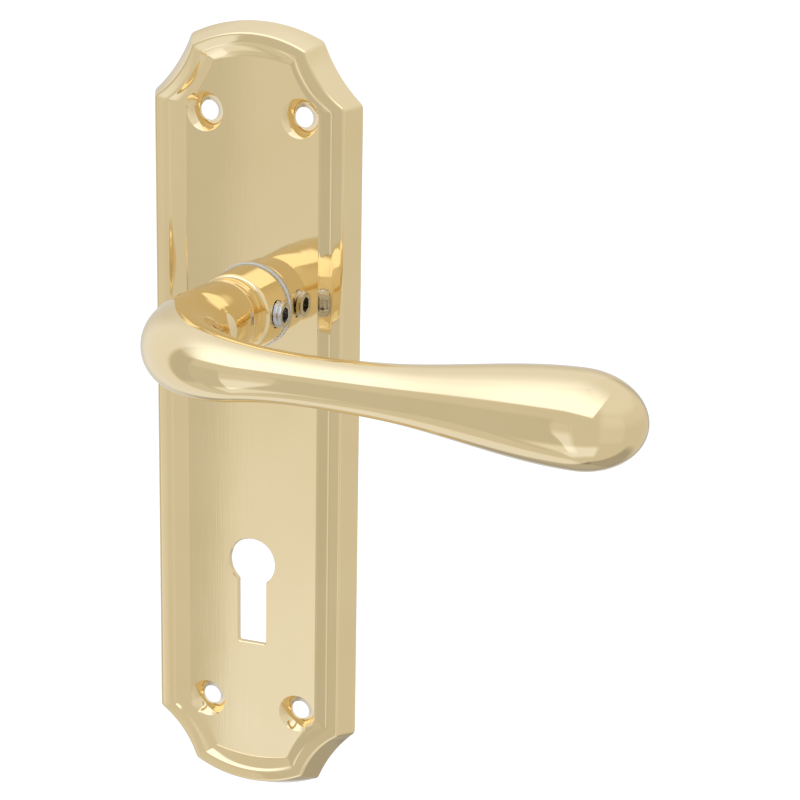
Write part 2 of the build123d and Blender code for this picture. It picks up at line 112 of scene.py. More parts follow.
# Lever
SEAT_HEIGHT = 3.5
BARREL_FOOT_RADIUS = 8.8
BARREL_TOP = 12.4
BARREL_TOP_RADIUS = 8.35
BARREL_ROUND = 0.8
ARM_SECTIONS = (
    (11.0, 7.4),
    (12.4, 7.2),
    (13.7, 7.05),
    (15.3, 7.35),
    (17.0, 7.7),
    (19.5, 8.0),
    (22.5, 8.2),
    (25.5, 8.3),
    (28.0, 8.3),
)
ROOT_SHIFT = (-0.6, 0.5)
SHIFT_END = 22.0
ELBOW_HEIGHT = 29.8
ELBOW_BEND = 22.0
ELBOW_RADIUS = 8.2
GRIP_TILT = 2.9
GRIP_START_RADIUS = 5.75
GRIP_KNOTS = ((0.0, 5.75), (17.0, 4.85), (33.0, 5.55), (45.0, 7.05), (56.0, 8.5), (67.0, 9.15))
GRIP_LENGTH = 79.4
SPIGOT_RADIUS = 6.6
SPIGOT_TOP = 11.6
LEVER_SEGMENTS = 144
ARM_RINGS = 60
ELBOW_RINGS = 64
GRIP_RINGS = 96
TIP_RINGS = 34
GRUB_HEIGHT = 7.9
GRUB_HOLE_RADIUS = 2.95
GRUB_HOLE_SEGMENTS = 64
GRUB_RADIUS = 2.9
GRUB_START = 4.05
GRUB_LENGTH = 6.0
GRUB_HEX = 3.0
GRUB_SEGMENTS = 96
THREAD_PITCH = 1.0
THREAD_DEPTH = 0.4

# Key light: the way it faces, its brightness, and the planes through the object that bound it. Each
# plane is given along the light's side, face and up, with how softly the light fades across it.
KEY_AZIMUTH = -23.0
KEY_ELEVATION = 20.0
KEY_RADIANCE = 1.55
KEY_EDGES = (
    ((1.0, 0.40, 0.52), 16.0),
    ((-1.0, 0.69, 0.28), 0.7),
    ((0.0, -0.155, 1.0), 2.5),
    ((0.0, 0.906, -0.4226), 30.0),
)
# Where the bright lower card's left edge runs: two directions, as azimuth and elevation
LOWER_EDGE = ((-25.3, -4.0), (-26.3, -27.5))

# Camera
CAMERA_AZIMUTH = 21.305
CAMERA_ELEVATION = 15.858
CAMERA_ROLL = 1.049
CAMERA_LENS = 103.73
CAMERA_DISTANCE = 476.4
CAMERA_TARGET = (32.47, 0.0, -17.40)

# Meshes: points closer than MERGE are one point, edges shorter than SLIVER are dropped, edges that turn
# more than CRISP_ANGLE stay crisp, and a face is flat where its normal is this near the height's axis.
MERGE = 0.002
SLIVER = 0.001
CRISP_ANGLE = 30.0
FLAT_NORMAL = 0.99999
# How far a cutting or joined shape runs past the surface that it meets
CLEAR = 1.0
OVERLAP = 0.4


# ---------------------------------------------------------------- mesh helpers

def ring(points, height):
    """Outline points (x, z) at a height, as an array of x, y, z."""
    points = np.asarray(points, float)
    return np.column_stack([points[:, 0], np.full(len(points), -height), points[:, 1]])


def circle(radius, count, centre=(0.0, 0.0)):
    """Points round a circle, as x and z."""
    turn = np.arange(count) * 2 * pi / count
    return np.column_stack([centre[0] + radius * np.cos(turn), centre[1] + radius * np.sin(turn)])


def skin(rows, caps=(True, True)):
    """A mesh of quads through closed rings of points, with a flat face on each end."""
    count = len(rows[0])
    verts = [tuple(p * MM) for row in rows for p in row]
    faces = []
    for r in range(len(rows) - 1):
        for i in range(count):
            j = (i + 1) % count
            faces.append((r * count + i, r * count + j, (r + 1) * count + j, (r + 1) * count + i))
    if caps[0]:
        faces.append(tuple(range(count)))
    if caps[1]:
        faces.append(tuple(range((len(rows) - 1) * count, len(rows) * count)))
    return verts, faces


def build(name, parts):
    """One object from several closed shells, each a pair of vertices and faces."""
    mesh = bpy.data.meshes.new(name)
    verts, faces = [], []
    for part_verts, part_faces in parts:
        base = len(verts)
        verts += part_verts
        faces += [tuple(base + i for i in face) for face in part_faces]
    mesh.from_pydata(verts, [], faces)
    shape = bmesh.new()
    shape.from_mesh(mesh)
    bmesh.ops.recalc_face_normals(shape, faces=shape.faces)
    shape.to_mesh(mesh)
    shape.free()
    obj = bpy.data.objects.new(name, mesh)
    bpy.context.scene.collection.objects.link(obj)
    return obj


def combine(obj, other, operation):
    """Joins or cuts obj with another closed object, which is then removed."""
    modifier = obj.modifiers.new("combine", "BOOLEAN")
    modifier.operation = operation
    modifier.solver = "EXACT"
    modifier.object = other
    bpy.context.view_layer.update()
    result = bpy.data.meshes.new_from_object(obj.evaluated_get(bpy.context.evaluated_depsgraph_get()))
    obj.modifiers.clear()
    obj.data = result
    bpy.data.objects.remove(other)


def finish_shading(obj, angle=CRISP_ANGLE):
    """Smooth faces, with edges left crisp where they turn sharply or border a flat face."""
    shape = bmesh.new()
    shape.from_mesh(obj.data)
    bmesh.ops.remove_doubles(shape, verts=shape.verts, dist=MERGE * MM)
    bmesh.ops.dissolve_degenerate(shape, edges=shape.edges, dist=SLIVER * MM)
    shape.normal_update()
    for face in shape.faces:
        face.smooth = True
    for edge in shape.edges:
        if len(edge.link_faces) != 2:
            continue
        flats = [abs(face.normal.y) > FLAT_NORMAL for face in edge.link_faces]
        edge.smooth = edge.calc_face_angle(0.0) < radians(angle) and flats[0] == flats[1]
    shape.to_mesh(obj.data)
    shape.free()


def arc(start, middle, end, count=200):
    """Points along the circular arc from start through middle to end."""
    a, b, c = (np.asarray(p, float) for p in (start, middle, end))
    matrix = 2 * np.array([b - a, c - a])
    centre = np.linalg.solve(matrix, [b @ b - a @ a, c @ c - a @ a])
    radius = np.linalg.norm(a - centre)
    angles = [atan2(*(p - centre)[::-1]) for p in (a, b, c)]
    for k in (1, 2):
        while angles[k] - angles[k - 1] > pi:
            angles[k] -= 2 * pi
        while angles[k] - angles[k - 1] < -pi:
            angles[k] += 2 * pi
    turn = np.linspace(angles[0], angles[2], count)
    return centre + radius * np.column_stack([np.cos(turn), np.sin(turn)])


def line(start, end, count=60):
    """Points along a straight line."""
    return np.linspace(start, end, count)


def along(points, first, last, count):
    """Evenly spaced points between two distances along a polyline, the last counted from its end."""
    gaps = np.linalg.norm(np.diff(points, axis=0), axis=1)
    distance = np.concatenate([[0.0], np.cumsum(gaps)])
    wanted = np.linspace(first, distance[-1] - last, count)
    return np.column_stack([np.interp(wanted, distance, points[:, k]) for k in range(2)])


def corner(before, after, count):
    """Points that round the corner between two trimmed polylines, without their ends."""
    a, b = before[-1], after[0]
    way_in = before[-1] - before[-2]
    way_out = after[1] - after[0]
    step = np.linalg.solve(np.column_stack([way_in, way_out]), b - a)
    knee = a + way_in * step[0]
    way_in, way_out = way_in / np.linalg.norm(way_in), way_out / np.linalg.norm(way_out)
    weight = sqrt(max(0.0, (1 + way_in @ way_out) / 2))
    u = np.linspace(0, 1, count + 2)[1:-1, None]
    total = (1 - u) ** 2 + 2 * u * (1 - u) * weight + u**2
    return ((1 - u) ** 2 * a + 2 * u * (1 - u) * weight * knee + u**2 * b) / total


def rounded(segments, radius, counts, corner_count):
    """Joins polylines end to end and rounds each corner between them."""
    trims = []
    for before, after in zip(segments, segments[1:]):
        way_in = before[-1] - before[-2]
        way_out = after[1] - after[0]
        turn = (way_in @ way_out) / (np.linalg.norm(way_in) * np.linalg.norm(way_out))
        trims.append(radius * sqrt((1 - turn) / (1 + turn)))
    first = [0.0] + trims
    last = trims + [0.0]
    kept = [along(s, f, l, n) for s, f, l, n in zip(segments, first, last, counts)]
    pieces = [kept[0]]
    for before, after in zip(kept, kept[1:]):
        pieces += [corner(before, after, corner_count), after]
    return np.concatenate(pieces)


def bend(first, knee, last, count):
    """Rows of points that curve from one row to another round a third."""
    steps = np.linspace(0, 1, count)
    return [(1 - u) ** 2 * first + 2 * u * (1 - u) * knee + u**2 * last for u in steps]


# ---------------------------------------------------------------- backplate

plate_low, plate_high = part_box("backplate")
PLATE_CENTRE_Z = (plate_low.z + plate_high.z) / 2 / MM


def shaped_outline(half_width, shoulder, corner_x, corner_z, crown, bow, corner_round):
    """The plate's outline: straight sides, hollow corners and an arched crown at both ends."""
    foot = np.array([half_width, shoulder])
    chord = np.array([corner_x, corner_z]) - foot
    inward = np.array([-chord[1], chord[0]]) / np.linalg.norm(chord) * bow
    hollow = arc(foot, foot + chord / 2 + inward, foot + chord)
    arch = arc((corner_x, corner_z), (0, crown), (-corner_x, corner_z))
    segments = [line((half_width, 0), foot), hollow, arch[: len(arch) // 2 + 1]]
    segments[2][-1] = (0, crown)
    counts = (SIDE_POINTS, HOLLOW_POINTS, CROWN_POINTS)
    quarter = rounded(segments, corner_round, counts, CORNER_POINTS)
    left = quarter[::-1] * (-1, 1)
    top = np.concatenate([quarter[:-1], left[:-1]])
    bottom = top * (-1, -1)
    return np.concatenate([top, bottom]) + (0, PLATE_CENTRE_Z)


def plate_rows():
    """The plate's section, from the panel's edge over the border and round to the pocket behind."""
    panel = ring(shaped_outline(*PANEL_OUTLINE), PANEL_HEIGHT)
    crease = ring(shaped_outline(*CREASE_OUTLINE), CREASE_HEIGHT)
    land = ring(shaped_outline(*LAND_OUTLINE), LAND_HEIGHT)
    arris = ring(shaped_outline(*ARRIS_OUTLINE), ARRIS_HEIGHT)
    back = ring(shaped_outline(*BACK_OUTLINE), 0)
    pocket = shaped_outline(*POCKET_OUTLINE)
    lip = ring(pocket, 0)
    rows = []
    for step in range(ROUND_ROWS + 1):
        lean = radians(90 * (1 - step / (ROUND_ROWS + 1)))
        row = crease + (panel - crease) * sin(lean)
        row[:, 1] = panel[:, 1] + (crease - panel)[:, 1] * cos(lean)
        rows.append(row)
    rows += bend(rows.pop(), crease, crease + (land - crease) * COVE_START, SMALL_EDGE_ROWS)
    for done in COVE_STEPS:
        row = crease + (land - crease) * done
        row[:, 1] += COVE_DEPTH * 4 * done * (1 - done)
        rows.append(row)
    cove_end = crease + (land - crease) * COVE_END
    rows += bend(cove_end, land, land + (arris - land) * LAND_START, EDGE_ROWS)
    rows.append(land + (arris - land) * 0.5)
    land_end = land + (arris - land) * LAND_END
    rows += bend(land_end, arris, arris + (back - arris) * WALL_START, EDGE_ROWS)
    rows.append(arris + (back - arris) * 0.5)
    wall_end = arris + (back - arris) * WALL_END
    rows += bend(wall_end, back, back + (lip - back) * BACK_START, SMALL_EDGE_ROWS)
    rows.append(lip)
    rows.append(ring(pocket, POCKET_HEIGHT))
    return rows


def lathe(profile, count, centre=(0.0, 0.0)):
    """A closed turned shape about an axis along the height, from (radius, height) pairs."""
    return skin([ring(circle(radius, count, centre), height) for radius, height in profile])


def keyhole_outline(grow=0.0):
    """A round eye over a straight slot, grown outwards by an amount."""
    radius, half = KEYHOLE_RADIUS + grow, KEY_SLOT_HALF + grow
    bottom = KEY_SLOT_BOTTOM_Z - grow
    drop = sqrt(radius**2 - half**2)
    eye = arc((0, KEYHOLE_Z + radius), (radius, KEYHOLE_Z), (half, KEYHOLE_Z - drop))
    side = line((half, KEYHOLE_Z - drop), (half, bottom))
    foot = line((half, bottom), (0, bottom))
    right = rounded([eye, side, foot], KEYHOLE_ROUND, (48, 12, 5), 6)
    left = right[::-1] * (-1, 1)
    return np.concatenate([right[:-1], left[:-1]])


def polar(radius, angle):
    """A point on the face about the spindle axis."""
    return radius * cos(radians(angle)), radius * sin(radians(angle))


def make_plate():
    """The backplate casting, with its bosses, pillars and holes."""
    screws = [
        (side * SCREW_SPACING_X / 2, PLATE_CENTRE_Z + end * SCREW_SPACING_Z / 2)
        for side in (1, -1)
        for end in (1, -1)
    ]
    pillars = [polar(PILLAR_CIRCLE, angle) for angle in PILLAR_ANGLES]
    inside = POCKET_HEIGHT + OVERLAP
    added = [lathe([(SCREW_BOSS_RADIUS, 0), (SCREW_BOSS_RADIUS, inside)], 48, place) for place in screws]
    added += [lathe([(PILLAR_RADIUS, PILLAR_BACK), (PILLAR_RADIUS, inside)], 32, place) for place in pillars]
    reach = ARRIS_HEIGHT + CLEAR
    seat_foot = PANEL_HEIGHT - SCREW_SEAT_RADIUS + SCREW_HOLE_RADIUS
    screw_hole = [
        (SCREW_HOLE_RADIUS, -CLEAR),
        (SCREW_HOLE_RADIUS, seat_foot - SEAT_ROUND),
        (SCREW_HOLE_RADIUS + SEAT_ROUND / 3, seat_foot),
        (SCREW_SEAT_RADIUS + reach - PANEL_HEIGHT, reach),
    ]
    cut = [lathe(screw_hole, 72, place) for place in screws]
    tapped = [(TAP_RADIUS, PILLAR_BACK - CLEAR), (TAP_RADIUS, TAP_END)]
    cut += [lathe(tapped, 24, place) for place in pillars]
    cut.append(lathe([(BUSH_SLEEVE_RADIUS, -CLEAR), (BUSH_SLEEVE_RADIUS, reach)], 128))
    straight, flared = keyhole_outline(), keyhole_outline(KEYHOLE_FLARE)
    cut.append(skin([
        ring(straight, -CLEAR),
        ring(straight, PANEL_HEIGHT - 0.16),
        ring(straight + (flared - straight) * 0.15, PANEL_HEIGHT - 0.06),
        ring(flared, PANEL_HEIGHT + 0.45),
    ]))
    plate = build("plate_casting", [skin(plate_rows())])
    combine(plate, build("added", added), "UNION")
    combine(plate, build("cut", cut), "DIFFERENCE")
    finish_shading(plate)
    return plate


# ---------------------------------------------------------------- lever

def spline(knots, first_slope, last_slope):
    """A smooth curve through knots (x, y) with stated end slopes, as a function of x."""
    x, y = np.array(knots).T
    gap, rise = np.diff(x), np.diff(y)
    count = len(x)
    matrix, values = np.eye(count), np.zeros(count)
    values[0], values[-1] = first_slope, last_slope
    for i in range(1, count - 1):
        matrix[i, i - 1 : i + 2] = gap[i], 2 * (gap[i - 1] + gap[i]), gap[i - 1]
        values[i] = 3 * (gap[i] * rise[i - 1] / gap[i - 1] + gap[i - 1] * rise[i] / gap[i])
    slopes = np.linalg.solve(matrix, values)

    def value(at):
        i = int(np.clip(np.searchsorted(x, at) - 1, 0, count - 2))
        t = (at - x[i]) / gap[i]
        start = y[i] * (1 + 2 * t) * (1 - t) ** 2 + slopes[i] * gap[i] * t * (1 - t) ** 2
        end = y[i + 1] * t**2 * (3 - 2 * t) + slopes[i + 1] * gap[i] * t**2 * (t - 1)
        return start + end

    return value


def lever_rings():
    """Centre, direction and radius of each ring along the arm and grip, from root to tip."""
    turn_total = radians(90 - GRIP_TILT)
    taper = 2 * (ELBOW_RADIUS - GRIP_START_RADIUS) / (ELBOW_BEND * turn_total)
    radius_at = spline(GRIP_KNOTS, -taper, 0.0)
    bulb = GRIP_KNOTS[-1]
    arm_radius = spline(ARM_SECTIONS + ((ELBOW_HEIGHT, ELBOW_RADIUS),), 0.0, 0.0)
    root = ARM_SECTIONS[0][0]
    rings = []
    for height in np.linspace(root, ELBOW_HEIGHT, ARM_RINGS)[:-1]:
        shift = max(0.0, (SHIFT_END - height) / (SHIFT_END - root))
        centre = (ROOT_SHIFT[0] * shift, -height, ROOT_SHIFT[1] * shift)
        rings.append((centre, (0, -1), arm_radius(height)))
    for done in np.linspace(0, 1, ELBOW_RINGS)[:-1]:
        turned = turn_total * done
        centre = (ELBOW_BEND * (1 - cos(turned)), -ELBOW_HEIGHT - ELBOW_BEND * sin(turned), 0.0)
        way = (sin(turned), -cos(turned))
        rings.append((centre, way, ELBOW_RADIUS - (ELBOW_RADIUS - GRIP_START_RADIUS) * done**2))
    across = ELBOW_BEND * (1 - cos(turn_total))
    start = np.array((across, -ELBOW_HEIGHT - ELBOW_BEND * sin(turn_total), 0.0))
    way = np.array((sin(turn_total), -cos(turn_total), 0.0))
    for distance in np.linspace(0, bulb[0], GRIP_RINGS):
        rings.append((start + way * distance, way, radius_at(distance)))
    for angle in np.linspace(0, 90, TIP_RINGS)[1:-1]:
        distance = bulb[0] + (GRIP_LENGTH - bulb[0]) * sin(radians(angle))
        rings.append((start + way * distance, way, bulb[1] * cos(radians(angle))))
    return rings, start + way * GRIP_LENGTH


def make_barrel():
    """The turned barrel at the lever's foot, with small rounds at its seat and its top edge."""
    draft = (BARREL_FOOT_RADIUS - BARREL_TOP_RADIUS) / (BARREL_TOP - SEAT_HEIGHT)
    foot = BARREL_TOP - BARREL_ROUND
    profile = [(BARREL_FOOT_RADIUS - 0.25, SEAT_HEIGHT), (BARREL_FOOT_RADIUS - 0.08, SEAT_HEIGHT + 0.07)]
    for height in np.linspace(SEAT_HEIGHT + 0.25, foot, 10):
        profile.append((BARREL_FOOT_RADIUS - draft * (height - SEAT_HEIGHT), height))
    edge = profile[-1][0]
    for angle in np.linspace(0, 90, 12)[1:]:
        inwards = BARREL_ROUND * (1 - cos(radians(angle)))
        profile.append((edge - inwards, foot + BARREL_ROUND * sin(radians(angle))))
    return lathe(profile, LEVER_SEGMENTS)


def make_lever():
    """The lever casting: barrel, arm and grip, bored for the shank and drilled for the grub screw."""
    rings, tip = lever_rings()
    turn = np.arange(LEVER_SEGMENTS) * 2 * pi / LEVER_SEGMENTS
    rows = []
    for centre, way, radius in rings:
        across = np.array([-way[1], way[0]])
        flat = np.outer(np.cos(turn) * radius, across) + centre[:2]
        rows.append(np.column_stack([flat[:, 0], flat[:, 1], centre[2] + np.sin(turn) * radius]))
    verts, faces = skin(rows, caps=(True, False))
    last = len(verts) - LEVER_SEGMENTS
    verts.append((tip[0] * MM, tip[1] * MM, 0.0))
    faces += [(last + i, last + (i + 1) % LEVER_SEGMENTS, len(verts) - 1) for i in range(LEVER_SEGMENTS)]
    lever = build("lever_casting", [(verts, faces)])
    combine(lever, build("barrel", [make_barrel()]), "UNION")
    bore = lathe([(SPIGOT_RADIUS, SEAT_HEIGHT - CLEAR), (SPIGOT_RADIUS, SPIGOT_TOP)], LEVER_SEGMENTS)
    combine(lever, build("bore", [bore]), "DIFFERENCE")
    rim = circle(GRUB_HOLE_RADIUS, GRUB_HOLE_SEGMENTS)
    drill = [
        np.column_stack([np.full(GRUB_HOLE_SEGMENTS, x), rim[:, 0] - GRUB_HEIGHT, rim[:, 1]])
        for x in (CLEAR, BARREL_FOOT_RADIUS + 2 * CLEAR)
    ]
    combine(lever, build("drill", [skin(drill)]), "DIFFERENCE")
    finish_shading(lever)
    return lever


def make_grub_screw():
    """A cup-ended set screw with a cut thread, a chamfered end and a hexagon socket."""
    count = GRUB_SEGMENTS
    turn = np.arange(count) * 2 * pi / count
    hexagon = GRUB_HEX / 2 / np.cos((turn + pi / 6) % (pi / 3) - pi / 6)
    end = GRUB_START + GRUB_LENGTH
    rows = []

    def add(x, radius):
        radius = np.broadcast_to(radius, count)
        rows.append(np.column_stack([
            np.full(count, x), -GRUB_HEIGHT + radius * np.cos(turn), radius * np.sin(turn),
        ]))

    add(GRUB_START + 0.5, 0.6)
    add(GRUB_START, 1.3)
    for x in np.linspace(GRUB_START + 0.3, end - 0.12, 62):
        phase = ((x - GRUB_START) / THREAD_PITCH - turn / (2 * pi)) % 1.0
        groove = THREAD_DEPTH * np.clip(1.25 - 2.5 * np.abs(phase - 0.5), 0, 1)
        ends = min(1.0, (x - GRUB_START) / 0.8, (end - x) / 0.5)
        add(x, GRUB_RADIUS - groove * ends - (1 - min(1.0, ends)) * 0.25)
    add(end - 0.05, GRUB_RADIUS - 0.32)
    add(end, GRUB_RADIUS - 0.42)
    add(end, hexagon + 0.12)
    add(end - 0.1, hexagon)
    add(end - GRUB_HEX, hexagon)
    add(end - GRUB_HEX - 0.4, 0.3)
    screw = build("set_screw", [skin(rows)])
    finish_shading(screw, 40.0)
    return screw


# ---------------------------------------------------------------- materials

class Nodes:
    """A material's node tree, with short calls that add and wire nodes."""

    def __init__(self, name):
        self.material = bpy.data.materials.new(name)
        self.material.use_nodes = True
        self.tree = self.material.node_tree
        self.shader = self.tree.nodes["Principled BSDF"]
        self.coords = self.tree.nodes.new("ShaderNodeTexCoord").outputs["Object"]

    def link(self, output, node, socket):
        self.tree.links.new(output, node.inputs[socket])

    def stretched(self, scale):
        """Object coordinates scaled along each axis."""
        node = self.tree.nodes.new("ShaderNodeMapping")
        node.inputs["Scale"].default_value = scale
        self.link(self.coords, node, "Vector")
        return node.outputs["Vector"]

    def noise(self, scale, detail=3.0, roughness=0.5, vector=None):
        node = self.tree.nodes.new("ShaderNodeTexNoise")
        node.inputs["Scale"].default_value = scale
        node.inputs["Detail"].default_value = detail
        node.inputs["Roughness"].default_value = roughness
        self.link(vector or self.coords, node, "Vector")
        return node.outputs["Fac"]

    def cells(self, scale):
        node = self.tree.nodes.new("ShaderNodeTexVoronoi")
        node.inputs["Scale"].default_value = scale
        self.link(self.coords, node, "Vector")
        return node.outputs["Distance"]

    def rings(self, scale):
        """Fine turning marks about the spindle axis."""
        node = self.tree.nodes.new("ShaderNodeTexWave")
        node.wave_type = "RINGS"
        node.rings_direction = "Y"
        node.inputs["Scale"].default_value = scale
        node.inputs["Distortion"].default_value = 0.4
        self.link(self.coords, node, "Vector")
        return node.outputs["Fac"]

    def ranged(self, value, low, high, start=0.3, end=0.7):
        node = self.tree.nodes.new("ShaderNodeMapRange")
        for socket, number in (("From Min", start), ("From Max", end), ("To Min", low), ("To Max", high)):
            node.inputs[socket].default_value = number
        self.link(value, node, "Value")
        return node.outputs["Result"]

    def added(self, first, second):
        node = self.tree.nodes.new("ShaderNodeMath")
        node.operation = "ADD"
        self.tree.links.new(first, node.inputs[0])
        self.tree.links.new(second, node.inputs[1])
        return node.outputs[0]

    def colour(self, value, dark, light):
        """Base colour that runs between two colours."""
        node = self.tree.nodes.new("ShaderNodeMix")
        node.data_type = "RGBA"
        node.inputs["A"].default_value = (*dark, 1)
        node.inputs["B"].default_value = (*light, 1)
        self.tree.links.new(value, node.inputs["Factor"])
        self.link(node.outputs["Result"], self.shader, "Base Color")

    def bump(self, value, distance, strength=1.0, under=None):
        node = self.tree.nodes.new("ShaderNodeBump")
        node.inputs["Strength"].default_value = strength
        node.inputs["Distance"].default_value = distance
        self.link(value, node, "Height")
        if under is not None:
            self.link(under, node, "Normal")
        return node.outputs["Normal"]


def brass(name, grain, rough, dark, light, waviness):
    """Polished brass: a faint grain, slow colour shifts and a slightly uneven surface."""
    nodes = Nodes(name)
    nodes.shader.inputs["Metallic"].default_value = 1.0
    streaks = nodes.noise(1.0, 4.0, 0.6, nodes.stretched(grain))
    patches = nodes.noise(45.0, 3.0)
    nodes.colour(nodes.ranged(patches, 0.0, 1.0), dark, light)
    base = nodes.ranged(streaks, rough[0], rough[1])
    nodes.link(nodes.added(base, nodes.ranged(patches, 0.0, rough[1] * 0.2)), nodes.shader, "Roughness")
    uneven = nodes.bump(nodes.noise(waviness[0], 2.0), waviness[1] * MM)
    fine = nodes.bump(streaks, 0.0015 * MM, 1.0, uneven)
    nodes.link(fine, nodes.shader, "Normal")
    return nodes.material


def steel(name, dark, light, rough, kind, scale):
    """Steel with one kind of surface: turned rings, zinc spangle or plain grain."""
    nodes = Nodes(name)
    nodes.shader.inputs["Metallic"].default_value = 1.0
    if kind == "turned":
        pattern = nodes.rings(scale)
    elif kind == "spangle":
        pattern = nodes.cells(scale)
    else:
        pattern = nodes.noise(scale, 5.0, 0.6)
    wear = nodes.noise(300.0, 4.0)
    nodes.colour(nodes.ranged(wear, 0.0, 1.0), dark, light)
    nodes.link(nodes.added(nodes.ranged(pattern, rough[0], rough[1], 0.0, 1.0),
                           nodes.ranged(wear, 0.0, 0.06)), nodes.shader, "Roughness")
    nodes.link(nodes.bump(pattern, 0.004 * MM), nodes.shader, "Normal")
    return nodes.material


def nylon(name):
    """Natural nylon: milky, slightly translucent, with a moulded surface."""
    nodes = Nodes(name)
    nodes.shader.inputs["Subsurface Weight"].default_value = 0.25
    nodes.shader.inputs["Subsurface Radius"].default_value = (1.0, 0.9, 0.7)
    nodes.shader.inputs["Subsurface Scale"].default_value = 0.6 * MM
    grain = nodes.noise(2500.0, 3.0)
    nodes.colour(nodes.ranged(nodes.noise(200.0), 0.0, 1.0), (0.62, 0.59, 0.50), (0.70, 0.67, 0.60))
    nodes.link(nodes.ranged(grain, 0.38, 0.55), nodes.shader, "Roughness")
    nodes.link(nodes.bump(grain, 0.01 * MM), nodes.shader, "Normal")
    return nodes.material


DARK_BRASS = (0.86, 0.685, 0.385)
LIGHT_BRASS = (0.888, 0.718, 0.415)
plate_brass = brass("plate_brass", (2600, 2600, 60), (0.03, 0.06), DARK_BRASS, LIGHT_BRASS, (55.0, 0.012))
lever_brass = brass("lever_brass", (300, 900, 900), (0.035, 0.06), DARK_BRASS, LIGHT_BRASS, (40.0, 0.01))
white_nylon = nylon("white_nylon")
screw_steel = steel("screw_steel", (0.52, 0.50, 0.48), (0.68, 0.67, 0.65), (0.16, 0.3), "grain", 900.0)
turned_steel = steel("turned_steel", (0.48, 0.48, 0.47), (0.62, 0.62, 0.61), (0.18, 0.34), "turned", 900.0)
zinc_steel = steel("zinc_steel", (0.58, 0.59, 0.60), (0.72, 0.73, 0.74), (0.26, 0.42), "spangle", 700.0)
stamped_steel = steel("stamped_steel", (0.40, 0.40, 0.40), (0.54, 0.54, 0.53), (0.28, 0.44), "grain", 500.0)
spring_steel = steel("spring_steel", (0.26, 0.27, 0.29), (0.42, 0.43, 0.44), (0.22, 0.36), "grain", 1200.0)

FINISHES = {
    "neck_bush": white_nylon,
    "rear_bush": white_nylon,
    "thrust_washer": white_nylon,
    "spring_guide": white_nylon,
    "drive_shank": turned_steel,
    "spring_housing": zinc_steel,
    "housing_cover": zinc_steel,
    "shim_washer": zinc_steel,
    "cover_screws": screw_steel,
    "drive_plate": stamped_steel,
    "drive_pin": stamped_steel,
    "stop_pins": stamped_steel,
    "anchor_pin": stamped_steel,
    "return_spring": spring_steel,
    "spring_washer": spring_steel,
    "circlip": spring_steel,
}


for name, material in FINISHES.items():
    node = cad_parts[name]
    node.data.materials.clear()
    node.data.materials.append(material)

plate = make_plate()
plate.data.materials.append(plate_brass)
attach(plate, "plate")
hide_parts("backplate")

lever = make_lever()
lever.data.materials.append(lever_brass)
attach(lever, "lever")
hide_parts("lever_handle")

screw = make_grub_screw()
screw.data.materials.append(screw_steel)
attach(screw, "lever")
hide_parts("grub_screw")


# ---------------------------------------------------------------- studio

FLOOR_DROP = 60.0
FLOOR_CORNERS = ((-3, -3), (3, -3), (3, 3), (-3, 3))


def make_floor():
    """A plain pale floor under and behind the object."""
    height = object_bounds()[0].z - FLOOR_DROP * MM
    floor = build("floor", [])
    shape = bmesh.new()
    corners = [shape.verts.new((x, y, height)) for x, y in FLOOR_CORNERS]
    shape.faces.new(corners)
    shape.to_mesh(floor.data)
    shape.free()
    nodes = Nodes("floor_paint")
    nodes.colour(nodes.ranged(nodes.noise(3.0), 0.0, 1.0), (0.93, 0.93, 0.93), (0.95, 0.95, 0.95))
    nodes.shader.inputs["Roughness"].default_value = 0.9
    nodes.shader.inputs["Emission Color"].default_value = (1.0, 0.96, 0.9, 1.0)
    nodes.shader.inputs["Emission Strength"].default_value = 0.14
    floor.data.materials.append(nodes.material)
    floor.visible_glossy = False
    return floor


def make_camera():
    """The camera at the viewing angle, turned slightly about its own axis."""
    azimuth, elevation, roll = (radians(v) for v in (CAMERA_AZIMUTH, CAMERA_ELEVATION, CAMERA_ROLL))
    target = Vector(CAMERA_TARGET) * MM
    way = Vector((sin(azimuth) * cos(elevation), -cos(azimuth) * cos(elevation), sin(elevation)))
    data = bpy.data.cameras.new("camera")
    data.sensor_width = 36.0
    data.lens = CAMERA_LENS
    data.clip_start = 0.01
    camera = bpy.data.objects.new("camera", data)
    bpy.context.scene.collection.objects.link(camera)
    right = Vector((cos(azimuth), sin(azimuth), 0.0))
    up = way.cross(right)
    turned_right = cos(roll) * right + sin(roll) * up
    turned_up = cos(roll) * up - sin(roll) * right
    camera.matrix_world = Matrix.Translation(target + way * CAMERA_DISTANCE * MM) @ Matrix(
        (turned_right, turned_up, way)
    ).transposed().to_4x4()
    bpy.context.scene.camera = camera


# Studio cards round the object, as the directions they fill: azimuth and elevation limits in degrees
# seen from the object, the softness of their sides, then of their ends, and how much lighter or
# darker they are.
CARDS = (
    (-190, -78, -80, 95, 4, 4, 0.20),
    (-76, -53, -36, 30, 3, 3, -0.12),
    (-52, -12, -60, 8, 1, 4, -0.08),
    (-45, 28, -73, -46, 5, 5, 0.28),
    (27, 70, -36, 26, 4, 4, 0.06),
    (95, 190, -95, -46, 8, 8, -0.28),
    (-190, -130, -95, -42, 8, 8, -0.40),
    (-190, -128, -50, 30, 12, 14, -0.22),
    (166, 190, -50, 30, 12, 14, -0.22),
    (30, 190, 4, 95, 12, 12, 0.08),
    (30, 190, 30, 95, 10, 10, 0.10),
)
# The lower card behind the slanted edge: its right limit, bottom, top, softness of its ends, and gain
LOWER_CARDS = (
    (-12, -60, 6, 8, 0.12),
    (-12, -60, -17, 8, 0.22),
)
SURROUNDINGS = 0.72
BACKDROP = 1.0
# Light brighter than COOL_START turns cooler, and is wholly this tint from COOL_FULL on
COOL = (0.95, 1.02, 1.22)
COOL_START = 0.75
COOL_FULL = 1.05


